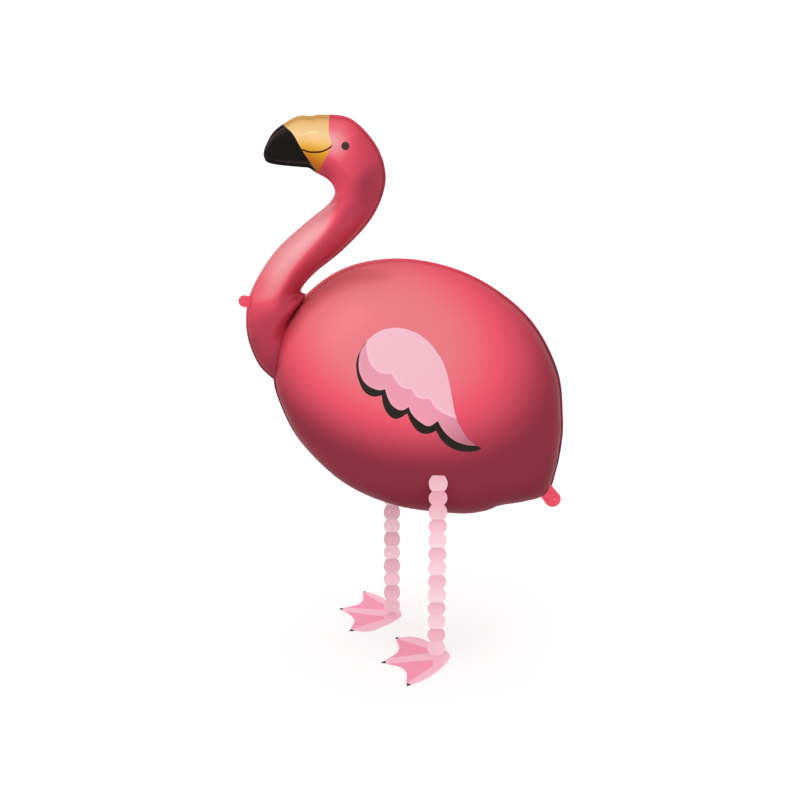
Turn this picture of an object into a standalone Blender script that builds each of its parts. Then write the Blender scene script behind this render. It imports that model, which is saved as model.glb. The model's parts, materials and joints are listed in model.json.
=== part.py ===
"""Flamingo walking balloon.

Two foil balloons, the body and the neck with the head, walk on two folded paper legs with
flat card feet. Each balloon is two sheets of foil welded round the edge and blown up.
The bird looks along -X, its left side is towards -Y and it stands on Z = 0.
All sizes are in metres.
"""

import math

import bmesh
import bpy
from mathutils import Vector
from mathutils.bvhtree import BVHTree

# Body balloon, measured over its seam
BODY_LENGTH = 0.866
BODY_DEPTH = 0.785
BODY_THICKNESS = 0.470
BODY_X = 0.049
BODY_UNDERSIDE = 0.407

# Neck and head balloon, from the middle of the breast up to the crown
NECK_HEIGHT = 0.636
NECK_ROUNDNESS = 0.78

# Welded foil seam and the inflation tabs
SEAM_WIDTH = 0.008
SEAM_THICKNESS = 0.0012
WIDEST_SEAM = 0.3   # as a share of the half width, where the beak runs out
TAB_THICKNESS = 0.0018
TAIL_TAB_WIDTH = 0.050
TAIL_TAB_REACH = 0.050
TAIL_TAB_ANGLE = math.radians(-52)
BREAST_TAB_WIDTH = 0.035
BREAST_TAB_REACH = 0.027
BREAST_TAB_ANGLE = math.radians(172)

# Paper legs
PANELS = 13
DISC_WIDTH = 0.0540
FOLD_WIDTH = 0.0345
PANEL_TILT = math.radians(10)
PAPER_THICKNESS = 0.0008
FLAP_LENGTH = 0.044
GLUE_TAB_WIDTH = 0.020
GLUE_TAB_LENGTH = 0.018
LEG_SEAT_DROP = 0.227
STRIDE = 0.136
LEGS_FORWARD = 0.0150

# Card feet
FOOT_SPREAD = 0.296
FOOT_SHIFT = 0.005
CARD_THICKNESS = 0.0022
FOOT_LENGTH = 0.2125
TOE_WIDTH = 0.013
CLAW_LENGTH = 0.012

# Gap between pieces that touch
CLEARANCE = 0.0003

# The body's outline from the tail round over the back, as shares of its length and depth.
# The three points on the breast lie inside the neck.
BODY_OUTLINE = [
    (0.458, -0.416), (0.486, -0.325), (0.502, -0.215), (0.503, -0.110), (0.480, 0.069),
    (0.391, 0.254), (0.257, 0.385), (0.101, 0.467), (-0.079, 0.498), (-0.251, 0.463),
    (-0.384, 0.363), (-0.478, 0.223), (-0.503, 0.065), (-0.484, -0.053), (-0.413, -0.211),
    (-0.270, -0.369), (-0.082, -0.463), (0.131, -0.496), (0.235, -0.488), (0.297, -0.463),
    (0.385, -0.446),
]
TAIL_CORNER = 0

# The neck's two edges from the beak's tip down to the end inside the body, as shares of the
# neck's height. Each back point faces the front point of the same number across the neck.
NECK_ROOT = (-0.450, 0.210)
NECK_BACK = [
    (-0.090, 0.820), (-0.079, 0.859), (-0.034, 0.927), (0.061, 0.986), (0.130, 0.989),
    (0.177, 0.995), (0.297, 0.981), (0.395, 0.894), (0.450, 0.787), (0.454, 0.672),
    (0.392, 0.533), (0.264, 0.395), (0.130, 0.286), (0.067, 0.209), (0.093, 0.179),
    (0.033, 0.091), (0.044, -0.013), (-0.040, -0.236),
]
NECK_FRONT = [
    (-0.090, 0.820), (-0.076, 0.789), (-0.025, 0.775), (0.079, 0.765), (0.114, 0.761),
    (0.146, 0.740), (0.199, 0.710), (0.226, 0.672), (0.225, 0.638), (0.187, 0.592),
    (0.076, 0.504), (-0.046, 0.392), (-0.140, 0.255), (-0.185, 0.138), (-0.189, 0.000),
    (-0.148, -0.127), (-0.098, -0.190), (-0.040, -0.236),
]
BREAST_TAB_STATION = 12.85

# A foot's outline round the end of its leg: degrees outwards from straight ahead, and reach
# as a share of the foot's length. The heel's edge runs into the inner toe, and the outer
# toe's edge runs back to the heel.
HEEL_EDGE = [(180, 0.169), (-137, 0.180), (-78, 0.398), (-61, 0.678)]
TOES = [(-44, 0.847), (15, 0.831), (63.5, 1.0)]
WEBS = [(-14.5, 0.579), (39.25, 0.632)]
OUTER_EDGE = [(71.5, 0.800), (83.5, 0.530), (114, 0.257)]

# How finely the free forms are cut into facets
BODY_RINGS = 21
BODY_STEPS_PER_POINT = 4
NECK_RINGS = 58
NECK_SIDES = 24
PANEL_STEPS = 8
TAB_STEPS = 8

# A free paper end stops short of its oval's point, and a round cushion of welded foil keeps
# its thickness up to near the seam: the thickness is the root of 1 - r to this power
ROUND_END = math.radians(80)
CUSHION_POWER = 2.8

BODY_CENTRE = Vector((BODY_X, 0.0, BODY_UNDERSIDE + BODY_DEPTH / 2))


def clear_scene():
    """Remove whatever the scene holds."""
    for thing in list(bpy.data.objects):
        bpy.data.objects.remove(thing, do_unlink=True)


def new_collection(name):
    """Add a collection to the scene."""
    group = bpy.data.collections.new(name)
    bpy.context.scene.collection.children.link(group)
    return group


def new_material(name, colour, roughness, metallic=0.0):
    """Return a Principled material."""
    material = bpy.data.materials.new(name)
    material.use_nodes = True
    shader = material.node_tree.nodes["Principled BSDF"]
    shader.inputs["Base Color"].default_value = (*colour, 1.0)
    shader.inputs["Roughness"].default_value = roughness
    shader.inputs["Metallic"].default_value = metallic
    return material


def new_object(name, mesh, group, material=None):
    """Put a mesh into a collection as an object."""
    thing = bpy.data.objects.new(name, mesh)
    group.objects.link(thing)
    if material:
        mesh.materials.append(material)
    return thing


def mesh_from(bm, name, smooth=True):
    """Close a bmesh into a mesh whose faces point outwards."""
    bmesh.ops.recalc_face_normals(bm, faces=bm.faces)
    mesh = bpy.data.meshes.new(name)
    bm.to_mesh(mesh)
    bm.free()
    if smooth:
        mesh.shade_smooth()
        mesh.set_sharp_from_angle(angle=math.radians(50))
    return mesh


def between(points, place):
    """Return the point at a place along a smooth line through open points."""
    last = len(points) - 1
    index = min(int(place), last - 1)
    step = place - index
    a, b, c, d = (Vector(points[min(max(index + k, 0), last)]) for k in (-1, 0, 1, 2))
    return catmull_rom(a, b, c, d, step)


def around(points, place):
    """Return the point at a place along a smooth closed line."""
    index = int(place)
    a, b, c, d = (Vector(points[(index + k) % len(points)]) for k in (-1, 0, 1, 2))
    return catmull_rom(a, b, c, d, place - index)


def catmull_rom(a, b, c, d, step):
    """Blend four points so that the line runs smoothly from the second to the third."""
    slope = (c - a) / 2
    next_slope = (d - b) / 2
    square = step * step
    cube = square * step
    return (b * (2 * cube - 3 * square + 1) + slope * (cube - 2 * square + step)
            + c * (3 * square - 2 * cube) + next_slope * (cube - square))


def body_edge(place):
    """Return a point of the body's outline as an offset from the body's centre."""
    share = around(BODY_OUTLINE, place)
    return Vector((share.x * BODY_LENGTH, 0.0, share.y * BODY_DEPTH))


def body_mesh(name, grow=0.0):
    """Blow two foil sheets of the body's outline up into a cushion.

    A sphere with its poles on the flanks is stretched ring by ring. The two rings at its
    middle are the outer edges of the flat seam, and the next ones are where the foil swells.
    """
    longitudes = len(BODY_OUTLINE) * BODY_STEPS_PER_POINT
    seam_ring = (BODY_RINGS - 3) // 2
    swell = (BODY_THICKNESS - SEAM_THICKNESS) / 2
    bm = bmesh.new()
    bmesh.ops.create_uvsphere(bm, u_segments=longitudes, v_segments=BODY_RINGS, radius=1.0)
    for vert in bm.verts:
        turn = math.atan2(vert.co.y, vert.co.x) % math.tau
        edge = body_edge(round(turn / math.tau * longitudes) / BODY_STEPS_PER_POINT
                         % len(BODY_OUTLINE))
        edge += edge.normalized() * grow
        ring = math.acos(min(1.0, abs(vert.co.z))) / math.pi * BODY_RINGS
        side = -1.0 if vert.co.z > 0 else 1.0
        if round(ring) > seam_ring:
            spread, height = 1.0, 0.0
        else:
            r = math.sin(round(ring) / seam_ring * math.pi / 2)
            spread = r * (1.0 - SEAM_WIDTH / edge.length)
            height = swell * math.sqrt(max(0.0, 1.0 - r ** CUSHION_POWER))
        vert.co = BODY_CENTRE + edge * spread
        vert.co.y = side * (height + SEAM_THICKNESS / 2 + grow)
    return mesh_from(bm, name)


def neck_point(share):
    """Turn shares of the neck's height into a place on the bird's middle plane."""
    root_x = BODY_CENTRE.x + NECK_ROOT[0] * BODY_LENGTH
    root_z = BODY_CENTRE.z + NECK_ROOT[1] * BODY_DEPTH
    return Vector((root_x + share[0] * NECK_HEIGHT, 0.0, root_z + share[1] * NECK_HEIGHT))


def neck_mesh(name):
    """Blow the neck and head up between their back and front edges.

    A sphere with its poles at the beak's tip and at the buried end is drawn along the neck.
    Its rings become oval sections, with the flat seam at the front and at the back.
    """
    back = [neck_point(share) for share in NECK_BACK]
    front = [neck_point(share) for share in NECK_FRONT]
    half = NECK_SIDES // 2
    bm = bmesh.new()
    bmesh.ops.create_uvsphere(bm, u_segments=NECK_SIDES, v_segments=NECK_RINGS, radius=1.0)
    for vert in bm.verts:
        station = round(math.acos(max(-1.0, min(1.0, vert.co.z))) / math.pi * NECK_RINGS)
        place = station / NECK_RINGS * (len(back) - 1)
        rear = between(back, place)
        fore = between(front, place)
        if station in (0, NECK_RINGS):
            vert.co = rear
            continue
        spot = round(math.atan2(vert.co.y, vert.co.x) % math.tau / math.tau * NECK_SIDES)
        spot %= NECK_SIDES
        side = 1.0 if spot < half else -1.0
        spot = spot if spot < half else NECK_SIDES - 1 - spot
        reach = (fore - rear) / 2
        seam = min(SEAM_WIDTH / reach.length, WIDEST_SEAM)
        if spot in (0, half - 1):
            across = 1.0 if spot == 0 else -1.0
            height = 0.0
        else:
            angle = (spot - 1) / (half - 3) * math.pi
            across = math.cos(angle) * (1.0 - seam)
            height = math.sin(angle) * reach.length * NECK_ROUNDNESS
        vert.co = (fore + rear) / 2 + reach * across
        vert.co.y = side * (height + SEAM_THICKNESS / 2)
    return mesh_from(bm, name)


def flat_outline(name, points, thickness, group):
    """Cut a flat shape out of a sheet: a filled curve in the XY plane given half its thickness
    to each side. Each point is x, y and whether the line has a corner there."""
    curve = bpy.data.curves.new(name, "CURVE")
    curve.dimensions = "2D"
    curve.fill_mode = "BOTH"
    curve.extrude = thickness / 2
    curve.resolution_u = 6
    spline = curve.splines.new("BEZIER")
    spline.bezier_points.add(len(points) - 1)
    for knot, (x, y, corner) in zip(spline.bezier_points, points):
        knot.co = (x, y, 0.0)
        kind = "VECTOR" if corner else "AUTO"
        knot.handle_left_type = kind
        knot.handle_right_type = kind
    spline.use_cyclic_u = True
    thing = bpy.data.objects.new(name, curve)
    group.objects.link(thing)
    return thing


def as_mesh(curve_object, group, material=None):
    """Swap a curve object for a closed mesh in the same place."""
    bpy.context.view_layer.update()
    graph = bpy.context.evaluated_depsgraph_get()
    mesh = bpy.data.meshes.new_from_object(curve_object.evaluated_get(graph))
    name = curve_object.name
    place = curve_object.matrix_world.copy()
    bpy.data.objects.remove(curve_object, do_unlink=True)
    bm = bmesh.new()
    bm.from_mesh(mesh)
    bmesh.ops.remove_doubles(bm, verts=bm.verts, dist=0.00001)
    bmesh.ops.recalc_face_normals(bm, faces=bm.faces)
    bm.to_mesh(mesh)
    bm.free()
    mesh.name = name
    mesh.materials.clear()
    thing = new_object(name, mesh, group, material)
    thing.matrix_world = place
    return thing


def tab(name, base, angle, width, reach, group):
    """Return an inflation tab: a tongue with a round end, standing out from a seam."""
    radius = width / 2
    root = -2 * width
    shoulder = reach - radius
    points = [(root, -radius, True), (shoulder, -radius, True)]
    for step in range(1, TAB_STEPS):
        turn = math.pi * (step / TAB_STEPS - 0.5)
        points.append((shoulder + radius * math.cos(turn), radius * math.sin(turn), False))
    points += [(shoulder, radius, True), (root, radius, True)]
    tongue = flat_outline(name, points, TAB_THICKNESS, group)
    tongue.rotation_euler = (math.radians(90), -angle, 0.0)
    tongue.location = base
    return hide(as_mesh(tongue, group))


def hide(thing):
    """Mark an object as a helper that isn't part of the bird."""
    thing.hide_render = True
    thing.display_type = "WIRE"
    return thing


def boolean(thing, other, operation):
    """Join another closed mesh to a piece, or cut it away."""
    step = thing.modifiers.new(other.name, "BOOLEAN")
    step.operation = operation
    step.object = other
    step.solver = "EXACT"


def make_body(group, helpers, material):
    """The body balloon with its tail tab."""
    body = new_object("body_balloon", body_mesh("body_balloon"), group, material)
    corner = BODY_CENTRE + body_edge(TAIL_CORNER)
    boolean(body, tab("tail_tab", corner, TAIL_TAB_ANGLE, TAIL_TAB_WIDTH, TAIL_TAB_REACH,
                      helpers), "UNION")
    return body


def make_neck(group, helpers, material):
    """The neck and head balloon, with its breast tab, pressed onto the body."""
    neck = new_object("neck_head_balloon", neck_mesh("neck_head_balloon"), group, material)
    front = [neck_point(share) for share in NECK_FRONT]
    base = between(front, BREAST_TAB_STATION)
    boolean(neck, tab("breast_tab", base, BREAST_TAB_ANGLE, BREAST_TAB_WIDTH,
                      BREAST_TAB_REACH, helpers), "UNION")
    pressed = new_object("body_in_neck", body_mesh("body_in_neck", CLEARANCE), helpers)
    boolean(neck, hide(pressed), "DIFFERENCE")
    return neck


def body_surface():
    """Return a search tree of the body's skin."""
    bm = bmesh.new()
    bm.from_mesh(bpy.data.objects["body_balloon"].data)
    tree = BVHTree.FromBMesh(bm)
    bm.free()
    return tree


def flap_seat(skin, side, x):
    """Find where a leg's flap lies on the flank: its middle, and the way down along it."""
    far_out = BODY_THICKNESS
    z = BODY_CENTRE.z - LEG_SEAT_DROP
    inward = Vector((0.0, -side, 0.0))
    middle, normal, _, _ = skin.ray_cast(Vector((x, side * far_out, z)), inward)
    normal.x = 0.0
    normal.normalize()
    down = Vector((0.0, normal.z * side, -abs(normal.y)))
    nearest = far_out
    shares = [step / 4 for step in range(-4, 5)]
    for along in shares:
        for across in shares:
            spot = middle + down * (along * FLAP_LENGTH)
            spot.x += across * DISC_WIDTH / 2
            hit = skin.ray_cast(spot + normal * far_out, -normal)
            if hit[0] is not None:
                nearest = min(nearest, hit[3])
    lift = far_out - nearest + CLEARANCE + PAPER_THICKNESS / 2
    return middle + normal * lift, down


def disc_rows(start, end, first, last):
    """Return the rows across one scalloped disc of paper between two folds.

    The angle runs round the disc's oval. At the two folds the disc is as narrow as the fold,
    and beyond them it would close to a point.
    """
    fold_angle = math.acos(FOLD_WIDTH / DISC_WIDTH)
    rows = []
    for step in range(PANEL_STEPS + 1):
        angle = first + (last - first) * step / PANEL_STEPS
        share = (math.sin(angle) / math.sin(fold_angle) + 1) / 2
        rows.append((start.lerp(end, share), DISC_WIDTH / 2 * math.cos(angle)))
    return rows


def leg_rows(skin, side, x):
    """Return the folded strip from its flap on the body to its tab on the foot."""
    fold_angle = math.acos(FOLD_WIDTH / DISC_WIDTH)
    tab_angle = math.acos(GLUE_TAB_WIDTH / DISC_WIDTH)
    middle, down = flap_seat(skin, side, x)
    top = middle - down * FLAP_LENGTH / 2
    rows = disc_rows(top, top + down * FLAP_LENGTH, ROUND_END, -fold_angle)
    bottom_height = CARD_THICKNESS + CLEARANCE + PAPER_THICKNESS / 2
    bottom = Vector((x, side * FOOT_SPREAD / 2, bottom_height))
    last_share = (math.sin(tab_angle) / math.sin(fold_angle) + 1) / 2
    drop = (bottom - top) / (PANELS - 1 + last_share)
    outward = Vector((0.0, side * drop.length * math.tan(PANEL_TILT), 0.0))
    folds = [top + drop * k + outward * (k % 2) for k in range(PANELS + 1)]
    for k in range(PANELS):
        last = tab_angle if k == PANELS - 1 else fold_angle
        rows += disc_rows(folds[k], folds[k + 1], -fold_angle, last)[1:]
    tab_end = rows[-1][0] - Vector((0.0, side * GLUE_TAB_LENGTH, 0.0))
    rows.append((tab_end, GLUE_TAB_WIDTH / 2))
    return rows


def make_leg(name, skin, side, x, group, material):
    """An accordion-folded scalloped paper leg. A flat grid is folded row by row, and its
    sheet is then given the paper's thickness."""
    rows = leg_rows(skin, side, x)
    count = len(rows) - 1
    bm = bmesh.new()
    bmesh.ops.create_grid(bm, x_segments=1, y_segments=count, size=1.0)
    for vert in bm.verts:
        centre, half_width = rows[round((vert.co.y + 1) / 2 * count)]
        vert.co = centre + Vector((math.copysign(half_width, vert.co.x), 0.0, 0.0))
    leg = new_object(name, mesh_from(bm, name, smooth=False), group, material)
    sheet = leg.modifiers.new("paper", "SOLIDIFY")
    sheet.thickness = PAPER_THICKNESS
    sheet.offset = 0.0
    sheet.use_even_offset = True
    return leg


def foot_point(degrees, reach, aside=0.0):
    """Return a place round a leg's end, a step aside from the line that leads to it."""
    angle = math.radians(degrees)
    x = -math.cos(angle) * reach + math.sin(angle) * aside
    y = -math.sin(angle) * reach - math.cos(angle) * aside
    return x, y


def foot_points():
    """Return the left foot's outline: heel, inner toe, webs and toes, and back."""
    half = TOE_WIDTH / 2
    points = [(*foot_point(turn, share * FOOT_LENGTH), False) for turn, share in HEEL_EDGE]
    for number, (turn, share) in enumerate(TOES):
        tip = share * FOOT_LENGTH
        points.append((*foot_point(turn, tip - CLAW_LENGTH, -half), True))
        points.append((*foot_point(turn, tip), True))
        points.append((*foot_point(turn, tip - CLAW_LENGTH, half), True))
        if number < len(WEBS):
            web_turn, web_share = WEBS[number]
            points.append((*foot_point(web_turn, web_share * FOOT_LENGTH), False))
    points += [(*foot_point(turn, share * FOOT_LENGTH), False) for turn, share in OUTER_EDGE]
    return points


def make_foot(name, side, x, group, material):
    """A webbed card foot under a leg. The left one's outline is mirrored for the right."""
    points = [(px, -side * py, corner) for px, py, corner in foot_points()]
    foot = flat_outline(name, points, CARD_THICKNESS, group)
    foot.location = (x - side * FOOT_SHIFT, side * FOOT_SPREAD / 2, CARD_THICKNESS / 2)
    return as_mesh(foot, group, material)


def main():
    """Build the whole bird."""
    clear_scene()
    group = new_collection("flamingo_walking_balloon")
    helpers = new_collection("helpers")
    foil = new_material("foil_pink", (0.83, 0.21, 0.26), 0.32)
    neck_foil = new_material("foil_pink_neck", (0.72, 0.15, 0.20), 0.32)
    paper = new_material("paper_pale_pink", (0.93, 0.62, 0.68), 0.85)
    card = new_material("card_pink", (0.90, 0.42, 0.52), 0.70)
    make_body(group, helpers, foil)
    make_neck(group, helpers, neck_foil)
    skin = body_surface()
    for name, side, step in (("left", -1.0, 0.5), ("right", 1.0, -0.5)):
        x = BODY_CENTRE.x - LEGS_FORWARD + STRIDE * step
        make_leg("leg_" + name, skin, side, x, group, paper)
        make_foot("foot_" + name, side, x, group, card)


main()
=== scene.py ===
# %% [markdown]
# # A foil flamingo on paper legs
# A walking balloon floats on helium and is held down by paper legs with card feet, so that it
# strolls behind whoever pulls it along. This one is two foil balloons, the body and the neck
# with the head. The wing, the beak and the rest that is seen on the foil are printed on it, with
# light and shade painted into the foil's colours as well. The frame that is loaded here gives
# every piece its place. The two balloons are modelled again over it, finer, and the paper and
# the card keep their shapes and get their finish.

import json
import math

import bpy
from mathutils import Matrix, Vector

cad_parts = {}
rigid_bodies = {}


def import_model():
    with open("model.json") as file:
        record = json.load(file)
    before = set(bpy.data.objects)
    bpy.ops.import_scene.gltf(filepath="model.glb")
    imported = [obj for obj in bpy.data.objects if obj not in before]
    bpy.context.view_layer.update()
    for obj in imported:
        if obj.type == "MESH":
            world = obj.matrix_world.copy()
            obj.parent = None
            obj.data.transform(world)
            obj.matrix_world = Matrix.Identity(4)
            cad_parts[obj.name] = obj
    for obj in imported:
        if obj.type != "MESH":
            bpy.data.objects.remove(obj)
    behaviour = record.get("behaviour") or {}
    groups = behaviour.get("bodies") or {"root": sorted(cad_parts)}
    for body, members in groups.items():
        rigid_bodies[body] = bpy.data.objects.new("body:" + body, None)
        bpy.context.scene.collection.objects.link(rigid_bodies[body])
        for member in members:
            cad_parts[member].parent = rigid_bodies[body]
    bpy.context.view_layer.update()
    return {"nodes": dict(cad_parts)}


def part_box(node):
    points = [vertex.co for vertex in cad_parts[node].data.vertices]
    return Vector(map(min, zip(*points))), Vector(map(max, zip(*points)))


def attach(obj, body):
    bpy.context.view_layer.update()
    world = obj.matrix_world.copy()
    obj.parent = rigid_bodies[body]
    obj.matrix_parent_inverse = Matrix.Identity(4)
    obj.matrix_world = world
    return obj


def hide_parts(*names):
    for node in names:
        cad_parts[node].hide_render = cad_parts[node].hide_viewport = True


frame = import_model()
print("pieces of the frame:", ", ".join(sorted(frame["nodes"])))

# %% [markdown]
# ## Sizes
# The balloons are drawn from the same few sizes as the frame. The body is measured over its
# welded seam, and the neck is measured from the middle of the breast up to the crown. Lengths
# are in metres, the bird looks along -X and its left side is towards -Y.

# %% Sizes of the two balloons
BODY_LENGTH = 0.866
BODY_DEPTH = 0.785
BODY_THICKNESS = 0.470
BODY_CENTRE = Vector((0.049, 0.0, 0.7995))
NECK_HEIGHT = 0.636
NECK_ROUNDNESS = 0.78
SEAM_WIDTH = 0.008
SEAM_THICKNESS = 0.0012
WIDEST_SEAM = 0.3
CUSHION_POWER = 2.8
CLEARANCE = 0.0003
MIDDLE_WAY = Vector((0.0, 1.0, 0.0))
print("the body is", BODY_LENGTH, "long and", BODY_THICKNESS, "thick")

# %% Sizes of the inflation tabs
TAB_THICKNESS = 0.0018
TAIL_TAB_WIDTH = 0.050
TAIL_TAB_REACH = 0.050
TAIL_TAB_ANGLE = math.radians(-52)
BREAST_TAB_WIDTH = 0.035
BREAST_TAB_REACH = 0.027
BREAST_TAB_ANGLE = math.radians(172)
BREAST_TAB_STATION = 12.85
print("the tail tab stands out by", TAIL_TAB_REACH)

# %% [markdown]
# ## Outlines
# A foil balloon starts as two flat sheets of one outline, so an outline is all that has to be
# drawn. The body's runs round from the tail over the back. The neck has two edges, a back and
# a front one, and each back point faces the front point of the same number.

# %% Outline points
BODY_OUTLINE = [
    (0.458, -0.416), (0.486, -0.325), (0.502, -0.215), (0.503, -0.110), (0.480, 0.069),
    (0.391, 0.254), (0.257, 0.385), (0.101, 0.467), (-0.079, 0.498), (-0.251, 0.463),
    (-0.384, 0.363), (-0.478, 0.223), (-0.503, 0.065), (-0.484, -0.053), (-0.413, -0.211),
    (-0.270, -0.369), (-0.082, -0.463), (0.131, -0.496), (0.235, -0.488), (0.297, -0.463),
    (0.385, -0.446),
]
NECK_ROOT = (-0.450, 0.210)
NECK_BACK = [
    (-0.090, 0.820), (-0.079, 0.859), (-0.034, 0.927), (0.061, 0.986), (0.130, 0.989),
    (0.177, 0.995), (0.297, 0.981), (0.395, 0.894), (0.450, 0.787), (0.454, 0.672),
    (0.392, 0.533), (0.264, 0.395), (0.130, 0.286), (0.067, 0.209), (0.093, 0.179),
    (0.033, 0.091), (0.044, -0.013), (-0.040, -0.236),
]
NECK_FRONT = [
    (-0.090, 0.820), (-0.076, 0.789), (-0.025, 0.775), (0.079, 0.765), (0.114, 0.761),
    (0.146, 0.740), (0.199, 0.710), (0.226, 0.672), (0.225, 0.638), (0.187, 0.592),
    (0.076, 0.504), (-0.046, 0.392), (-0.140, 0.255), (-0.185, 0.138), (-0.189, 0.000),
    (-0.148, -0.127), (-0.098, -0.190), (-0.040, -0.236),
]
print("outline points:", len(BODY_OUTLINE), "for the body and", len(NECK_BACK), "for each neck edge")

# %% [markdown]
# Straight lines between the points would show as corners. A smooth line through four points at
# a time, with the slope at a point taken from its two neighbours, passes through every point
# without one.

# %% A smooth line through points
def blend_points(points, step):
    """Run smoothly from the second of four points to the third."""
    before, start, end, after = points
    slope = (end - before) / 2
    next_slope = (after - start) / 2
    square = step * step
    cube = square * step
    return (start * (2 * cube - 3 * square + 1) + slope * (cube - 2 * square + step)
            + end * (3 * square - 2 * cube) + next_slope * (cube - square))


def along_open_line(points, place):
    """Return the point at a place along a line with two ends."""
    last = len(points) - 1
    index = min(int(place), last - 1)
    four = [Vector(points[min(max(index + k, 0), last)]) for k in (-1, 0, 1, 2)]
    return blend_points(four, place - index)


def along_closed_line(points, place):
    """Return the point at a place along a line that closes on itself."""
    index = int(place)
    four = [Vector(points[(index + k) % len(points)]) for k in (-1, 0, 1, 2)]
    return blend_points(four, place - index)


def body_edge(place):
    """Return a point of the body's outline, measured from the body's centre."""
    share = along_closed_line(BODY_OUTLINE, place)
    return Vector((share.x * BODY_LENGTH, 0.0, share.y * BODY_DEPTH))


def neck_place(share):
    """Turn shares of the neck's height into a place on the bird's middle plane."""
    root_x = BODY_CENTRE.x + NECK_ROOT[0] * BODY_LENGTH
    root_z = BODY_CENTRE.z + NECK_ROOT[1] * BODY_DEPTH
    return Vector((root_x + share[0] * NECK_HEIGHT, 0.0, root_z + share[1] * NECK_HEIGHT))


print("the tail's corner lies at", tuple(round(length, 3) for length in BODY_CENTRE + body_edge(0)))

# %% [markdown]
# ## Working by hand in code
# The frame's pieces come in selected, and an edit mode tool works on all that is selected. So
# every piece starts with nothing selected, and faces and points are picked by their place.

# %% Helpers for edit mode
def start_clean():
    """Leave edit mode and deselect everything."""
    if bpy.context.mode != "OBJECT":
        bpy.ops.object.mode_set(mode="OBJECT")
    bpy.ops.object.select_all(action="DESELECT")


def take(thing):
    """Make one object the only selected and active one."""
    start_clean()
    thing.select_set(True)
    bpy.context.view_layer.objects.active = thing


def edit(thing, kind="VERT"):
    """Open one object in edit mode."""
    take(thing)
    bpy.ops.object.mode_set(mode="EDIT")
    bpy.ops.mesh.select_mode(type=kind)


def pick(thing, wanted):
    """In edit mode, select just the points whose place passes a test."""
    bpy.ops.mesh.select_all(action="DESELECT")
    bpy.ops.object.mode_set(mode="OBJECT")
    for vert in thing.data.vertices:
        vert.select = wanted(vert.co)
    bpy.ops.object.mode_set(mode="EDIT")


def apply_modifiers(thing):
    """Apply all modifiers of an object, first to last."""
    take(thing)
    for modifier in list(thing.modifiers):
        bpy.ops.object.modifier_apply(modifier=modifier.name)


def count_faces(thing):
    """Say how fine a finished piece is."""
    return f"{thing.name}: {len(thing.data.polygons)} faces"


start_clean()
print("nothing is selected:", not bpy.context.selected_objects)

# %% [markdown]
# ## The body balloon
# Two foil sheets are welded along a flat seam and blown up with gas. Foil can't stretch, so the
# balloon stays flat at the seam, swells quickly beside it and is nearly round in the middle.
# A sphere could be squashed to this, but a ring of the outline that is extruded inwards again
# and again, and lifted a little each time, follows the outline exactly. One sheet is made like
# that, and a mirror gives the other.

# %% Extrude one sheet from its outline
EDGE_STEPS = 20
SHEET_RINGS = 44
SMOOTH_ANGLE = math.radians(50)
SWELL = (BODY_THICKNESS - SEAM_THICKNESS) / 2


def ring_share(ring):
    """Return how far out a ring lies, as a share of the way to the seam."""
    return math.cos(ring / SHEET_RINGS * math.pi / 2)


def ring_height(share):
    """Return how far the foil swells at a share of the way to the seam."""
    return SWELL * math.sqrt(max(0.0, 1.0 - share ** CUSHION_POWER))


def next_ring(scale, lift):
    """Extrude the selected ring and draw it in towards the body's middle."""
    bpy.ops.mesh.extrude_region_move(TRANSFORM_OT_translate={"value": (0.0, -lift, 0.0)})
    if scale != 1.0:
        bpy.ops.transform.resize(value=(scale, 1.0, scale), center_override=BODY_CENTRE)


start_clean()
edge_points = len(BODY_OUTLINE) * EDGE_STEPS
bpy.ops.mesh.primitive_circle_add(vertices=edge_points, radius=BODY_LENGTH / 2)
body = bpy.context.object
body.name = "body_foil"
for number, vert in enumerate(body.data.vertices):
    vert.co = BODY_CENTRE + body_edge(number / EDGE_STEPS)
edit(body)
bpy.ops.mesh.select_all(action="SELECT")
next_ring(1.0, SEAM_THICKNESS / 2)
next_ring(1.0 - SEAM_WIDTH / (BODY_LENGTH / 2), 0.0)
for ring in range(1, SHEET_RINGS):
    share = ring_share(ring)
    wider = ring_share(ring - 1)
    next_ring(share / wider, ring_height(share) - ring_height(wider))
bpy.ops.mesh.extrude_region_move()
bpy.ops.transform.translate(value=(0.0, ring_height(ring_share(SHEET_RINGS - 1)) - SWELL, 0.0))
bpy.ops.mesh.merge(type="CENTER")
bpy.ops.object.mode_set(mode="OBJECT")
print(count_faces(body))

# %% [markdown]
# The outline of a flat sheet is longer than that of the blown-up balloon, so the spare foil
# gathers into small pleats that run in from the seam and fade out. They are about a millimetre
# deep here, because the print hides all but their gleam. They stand closer in some places
# than in others, and a second, weaker row between them makes them uneven.

# %% Pleats along the seam
PLEAT_DEPTH = 0.0011
PLEAT_REACH = 0.16
PLEAT_FADE = 2.2
PLEAT_START = 0.12
DEPTH_FAR_OFF = 0.4
PLEATS = 86
WEAK_PLEATS = 53
WEAK_SHARE = 0.5
TOP_WAVE = 1.0 + WEAK_SHARE
BUNCHES = 7
BUNCHING = 1.7


def pleat(vert_place):
    """Return how deep the foil dips at a place near the seam."""
    offset = vert_place - BODY_CENTRE
    height = abs(offset.y) / SWELL
    near_seam = max(0.0, 1.0 - abs(height - PLEAT_REACH) / PLEAT_REACH)
    fade = math.exp(-height * PLEAT_FADE) * min(1.0, height / PLEAT_START)
    turn = math.atan2(offset.z, offset.x)
    wave = math.cos(turn * PLEATS + BUNCHING * math.sin(turn * BUNCHES))
    wave += WEAK_SHARE * math.sin(turn * WEAK_PLEATS)
    strength = DEPTH_FAR_OFF + (1.0 - DEPTH_FAR_OFF) * near_seam
    return PLEAT_DEPTH * (wave - TOP_WAVE) / 2 * fade * strength


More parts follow.
